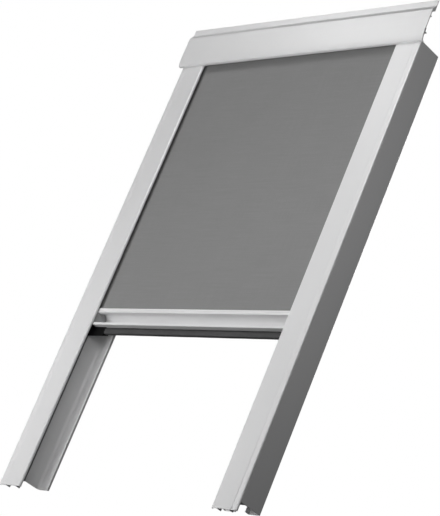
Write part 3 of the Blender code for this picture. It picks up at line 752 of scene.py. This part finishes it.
def makeScrew(nodeName):
    low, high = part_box(nodeName)
    x = (low[0] + high[0]) / 2
    z = (low[2] + high[2]) / 2
    radius = (high[0] - low[0]) / 2
    headDepth = screwLook["headHeight"]
    fullDepth = high[1] - low[1]
    shank = radius / 2 - screwLook["shankGap"]
    pitch = screwLook["threadPitch"]
    rings = [(radius * share, depth) for share, depth in screwLook["rimSteps"]]
    rings += [(radius, headDepth), (shank, headDepth)]
    for turn in range(int((fullDepth - headDepth) / pitch)):
        depth = headDepth + pitch * (turn + screwLook["threadStart"])
        rings.append((shank - screwLook["threadDepth"], depth))
        rings.append((shank, depth + pitch / 2))
    rings.append((shank * screwLook["point"], fullDepth))
    shape = bmesh.new()
    growRings(shape, makeHeadTop(shape, radius), rings)
    bmesh.ops.remove_doubles(shape, verts=shape.verts, dist=screwLook["merge"])
    bmesh.ops.recalc_face_normals(shape, faces=shape.faces)
    stand = Matrix.Translation((x, low[1], z)) @ Matrix.Rotation(math.pi / 2, 4, "X")
    bmesh.ops.transform(shape, verts=shape.verts, matrix=stand)
    finishShape(shape, nodeName + "_look", zincSteel, "frame", nodeName)


for nodeName in (
    "left_outer_bracket_screw",
    "left_inner_bracket_screw",
    "right_outer_bracket_screw",
    "right_inner_bracket_screw",
):
    makeScrew(nodeName)
print("screws made")


# cloth: rows of corners are filled with faces, and each corner's place on the flat cloth is its x and
# its row's length along the cloth

def fillCloth(shape, flat, grid, lengths):
    for row in range(len(grid) - 1):
        near, far = grid[row], grid[row + 1]
        for column in range(len(near) - 1):
            face = shape.faces.new((near[column], near[column + 1], far[column + 1], far[column]))
            for loop, place in zip(face.loops, (row, row, row + 1, row + 1)):
                loop[flat].uv = (loop.vert.co.x, lengths[place])


def thicken(piece, thickness):
    wall = piece.modifiers.new("thickness", "SOLIDIFY")
    wall.thickness = thickness
    wall.offset = 0


# the wound part of the mesh: one strip in a spiral on the tube, whose outer end meets the hanging cloth
rollLook = {
    "thickness": 0.00014,
    "innerRadius": 0.01038,
    "outerRadius": 0.01122,
    "turns": 4.4,
    "stepsPerTurn": 40,
    "columns": 20,
}


def spiralPlaces(axisY, axisZ):
    steps = round(rollLook["turns"] * rollLook["stepsPerTurn"])
    outer = rollLook["outerRadius"]
    places = []
    for step in range(steps + 1):
        angle = 2 * math.pi * step / rollLook["stepsPerTurn"]
        radius = outer - (outer - rollLook["innerRadius"]) * step / steps
        places.append((axisY - radius * math.cos(angle), axisZ + radius * math.sin(angle)))
    return places


def makeRoll():
    low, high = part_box("mesh_roll")
    axisZ = (low[2] + high[2]) / 2
    places = spiralPlaces((low[1] + high[1]) / 2, axisZ)
    lengths = [0.0]
    for before, after in zip(places, places[1:]):
        lengths.append(lengths[-1] + math.dist(before, after))
    shape = bmesh.new()
    flat = shape.loops.layers.uv.new("flat")
    grid = []
    for y, z in places:
        line = []
        for column in range(rollLook["columns"] + 1):
            x = low[0] + (high[0] - low[0]) * column / rollLook["columns"]
            line.append(shape.verts.new((x, y, z)))
        grid.append(line)
    fillCloth(shape, flat, grid, [axisZ + length for length in lengths])
    piece = finishShape(shape, "wound_cloth", meshCloth, "roller", "mesh_roll")
    thicken(piece, rollLook["thickness"])
    print("wound cloth length", round(lengths[-1], 4))


makeRoll()


# the hanging mesh: one cloth from the roller's front down to the bar, a little uneven like real cloth
screenLook = {
    "thickness": 0.00035,
    "columns": 60,
    "rows": 70,
    "wave": 0.00018,
    "ripples": ((41, 9, 0, 1.0), (17, -23, 1, 0.6)),  # across, along, start and height of each
    "heldAtBar": 0.004,
}


def rippleAt(x, z):
    return sum(height * math.sin(x * across + z * along + start)
               for across, along, start, height in screenLook["ripples"])


def makeScreen():
    low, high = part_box("mesh_screen")
    middle = (low[1] + high[1]) / 2
    shape = bmesh.new()
    flat = shape.loops.layers.uv.new("flat")
    grid = []
    lengths = []
    for row in range(screenLook["rows"] + 1):
        share = row / screenLook["rows"]
        hump = math.sin(math.pi * share)
        z = low[2] + (high[2] - low[2]) * share
        line = []
        for column in range(screenLook["columns"] + 1):
            x = low[0] + (high[0] - low[0]) * column / screenLook["columns"]
            y = middle + screenLook["wave"] * hump * rippleAt(x, z)
            line.append(shape.verts.new((x, y, z)))
        grid.append(line)
        lengths.append(z)
    fillCloth(shape, flat, grid, lengths)
    piece = newPiece(shape, "screen_cloth", meshCloth)
    thicken(piece, screenLook["thickness"])
    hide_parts("mesh_screen")
    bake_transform(piece)


makeScreen()
print("screen hung")


# studio: a surround that is white to the camera and gives a little light, and a pale floor far below
studio = {
    "surround": 0.035,
    "seenSurround": 1.0,
    "floorHeight": -3.00,
    "floorHalf": 15,
    "floorColour": (0.86, 0.86, 0.87),
    "floorCloud": 0.8,
    "floorTone": 0.98,
    "floorRoughness": 0.85,
}


def makeWorld():
    world = bpy.data.worlds.new("studio")
    world.use_nodes = True
    tree = world.node_tree
    plain = tree.nodes["Background"]
    plain.inputs["Color"].default_value = (1, 1, 1, 1)
    plain.inputs["Strength"].default_value = studio["surround"]
    seen = tree.nodes.new("ShaderNodeBackground")
    seen.inputs["Color"].default_value = (1, 1, 1, 1)
    seen.inputs["Strength"].default_value = studio["seenSurround"]
    path = tree.nodes.new("ShaderNodeLightPath")
    mix = tree.nodes.new("ShaderNodeMixShader")
    tree.links.new(path.outputs["Is Camera Ray"], mix.inputs["Fac"])
    tree.links.new(plain.outputs["Background"], mix.inputs[1])
    tree.links.new(seen.outputs["Background"], mix.inputs[2])
    tree.links.new(mix.outputs["Shader"], tree.nodes["World Output"].inputs["Surface"])
    bpy.context.scene.world = world


def makeFloor():
    shape = bmesh.new()
    bmesh.ops.create_grid(shape, x_segments=1, y_segments=1, size=studio["floorHalf"])
    bmesh.ops.translate(shape, vec=(0, 0, studio["floorHeight"]), verts=shape.verts)
    material, tree, shader = newMaterial("floorPaper")
    place = objectPlace(tree)
    paper = studio["floorColour"]
    cloud = noiseOf(tree, place, studio["floorCloud"], detail=3)
    tone = mixIn(tree, paper, cloud, (0, 1), shade(paper, studio["floorTone"]))
    tree.links.new(tone, shader.inputs["Base Color"])
    setInput(shader, "Roughness", studio["floorRoughness"])
    floor = newPiece(shape, "studioFloor", material)
    floor.visible_diffuse = False  # the floor is seen, but throws no light up at the blind
    floor.visible_glossy = False


# lamps: where each one stands, what it looks at, its size in metres and its power in watts;
# one that is shineOnly gives a highlight and no other light
lamps = {
    "frontLow": {"place": (-0.2, -2.4, -1.1), "aim": (0, 0, 0.3), "size": 1.4, "power": 18.0},
    "cameraFill": {"place": (1.9, -1.9, -0.5), "aim": (0, 0, 0.4), "size": 1.0, "power": 2.6},
    "rightHigh": {"place": (1.6, -0.1, 1.6), "aim": (0.27, 0, 0.7), "size": 0.8, "power": 2.63},
    "glowRight": {"place": (-0.44, -0.62, 1.32), "aim": (0.25, 0, 0.85), "size": 0.35, "power": 2.27},
    "glowFascia": {"place": (-0.62, -0.55, 1.30), "aim": (0, 0, 0.86), "size": 0.30, "power": 0.51},
    "glowTopEdge": {"place": (0.12, -0.60, 0.45), "aim": (0.28, 0, 0.88), "size": 0.35, "power": 0.70},
    "glowRightMid": {"place": (0.55, -0.60, 0.50), "aim": (0.25, 0, 0.5), "size": 0.35, "power": 1.27},
    "glowFoot": {"place": (-0.50, -0.60, 0.30), "aim": (0.25, 0, 0.0), "size": 0.30, "power": 1.15},
    "glowLeftFoot": {"place": (-0.5, -0.7, -0.1), "aim": (-0.25, 0, 0.1), "size": 0.40, "power": 2.2},
    "backSoft": {"place": (-1.5, 1.9, 2.0), "aim": (0, 0, 0.3), "size": 1.6, "power": 60.0},
    "floorWash": {"place": (0, 0, -1.50), "aim": (0, 0, -3.0), "size": 30.0, "power": 2600.0},
    "shineEdge": {
        "place": (0.55, -1.05, 1.28),
        "aim": (-0.225, 0, 0.72),
        "size": 0.45,
        "power": 32.0,
        "shineOnly": True,
    },
}


def makeLamps():
    for name, lamp in lamps.items():
        data = bpy.data.lights.new(name, "AREA")
        data.shape = "SQUARE"
        data.size = lamp["size"]
        data.energy = lamp["power"]
        light = bpy.data.objects.new(name, data)
        light.visible_camera = False
        light.visible_diffuse = not lamp.get("shineOnly", False)
        light.location = lamp["place"]
        toAim = Vector(lamp["aim"]) - Vector(lamp["place"])
        light.rotation_euler = toAim.to_track_quat("-Z", "Y").to_euler()
        bpy.context.scene.collection.objects.link(light)


def makeCamera(view):
    data = bpy.data.cameras.new("photoCamera")
    data.lens = view["lens"]
    data.sensor_width = view["sensor"]
    data.clip_start = view["nearest"]
    data.clip_end = view["farthest"]
    camera = bpy.data.objects.new("photoCamera", data)
    right = Vector(view["right"])
    up = -Vector(view["down"])
    back = -Vector(view["forward"])
    turn = Matrix((right, up, back)).transposed().to_4x4()
    camera.matrix_world = Matrix.Translation(view["place"]) @ turn
    bpy.context.scene.collection.objects.link(camera)
    bpy.context.scene.camera = camera


makeWorld()
makeFloor()
makeLamps()
makeCamera(photoCamera)
bpy.context.scene.view_settings.view_transform = "Standard"
print("studio set")
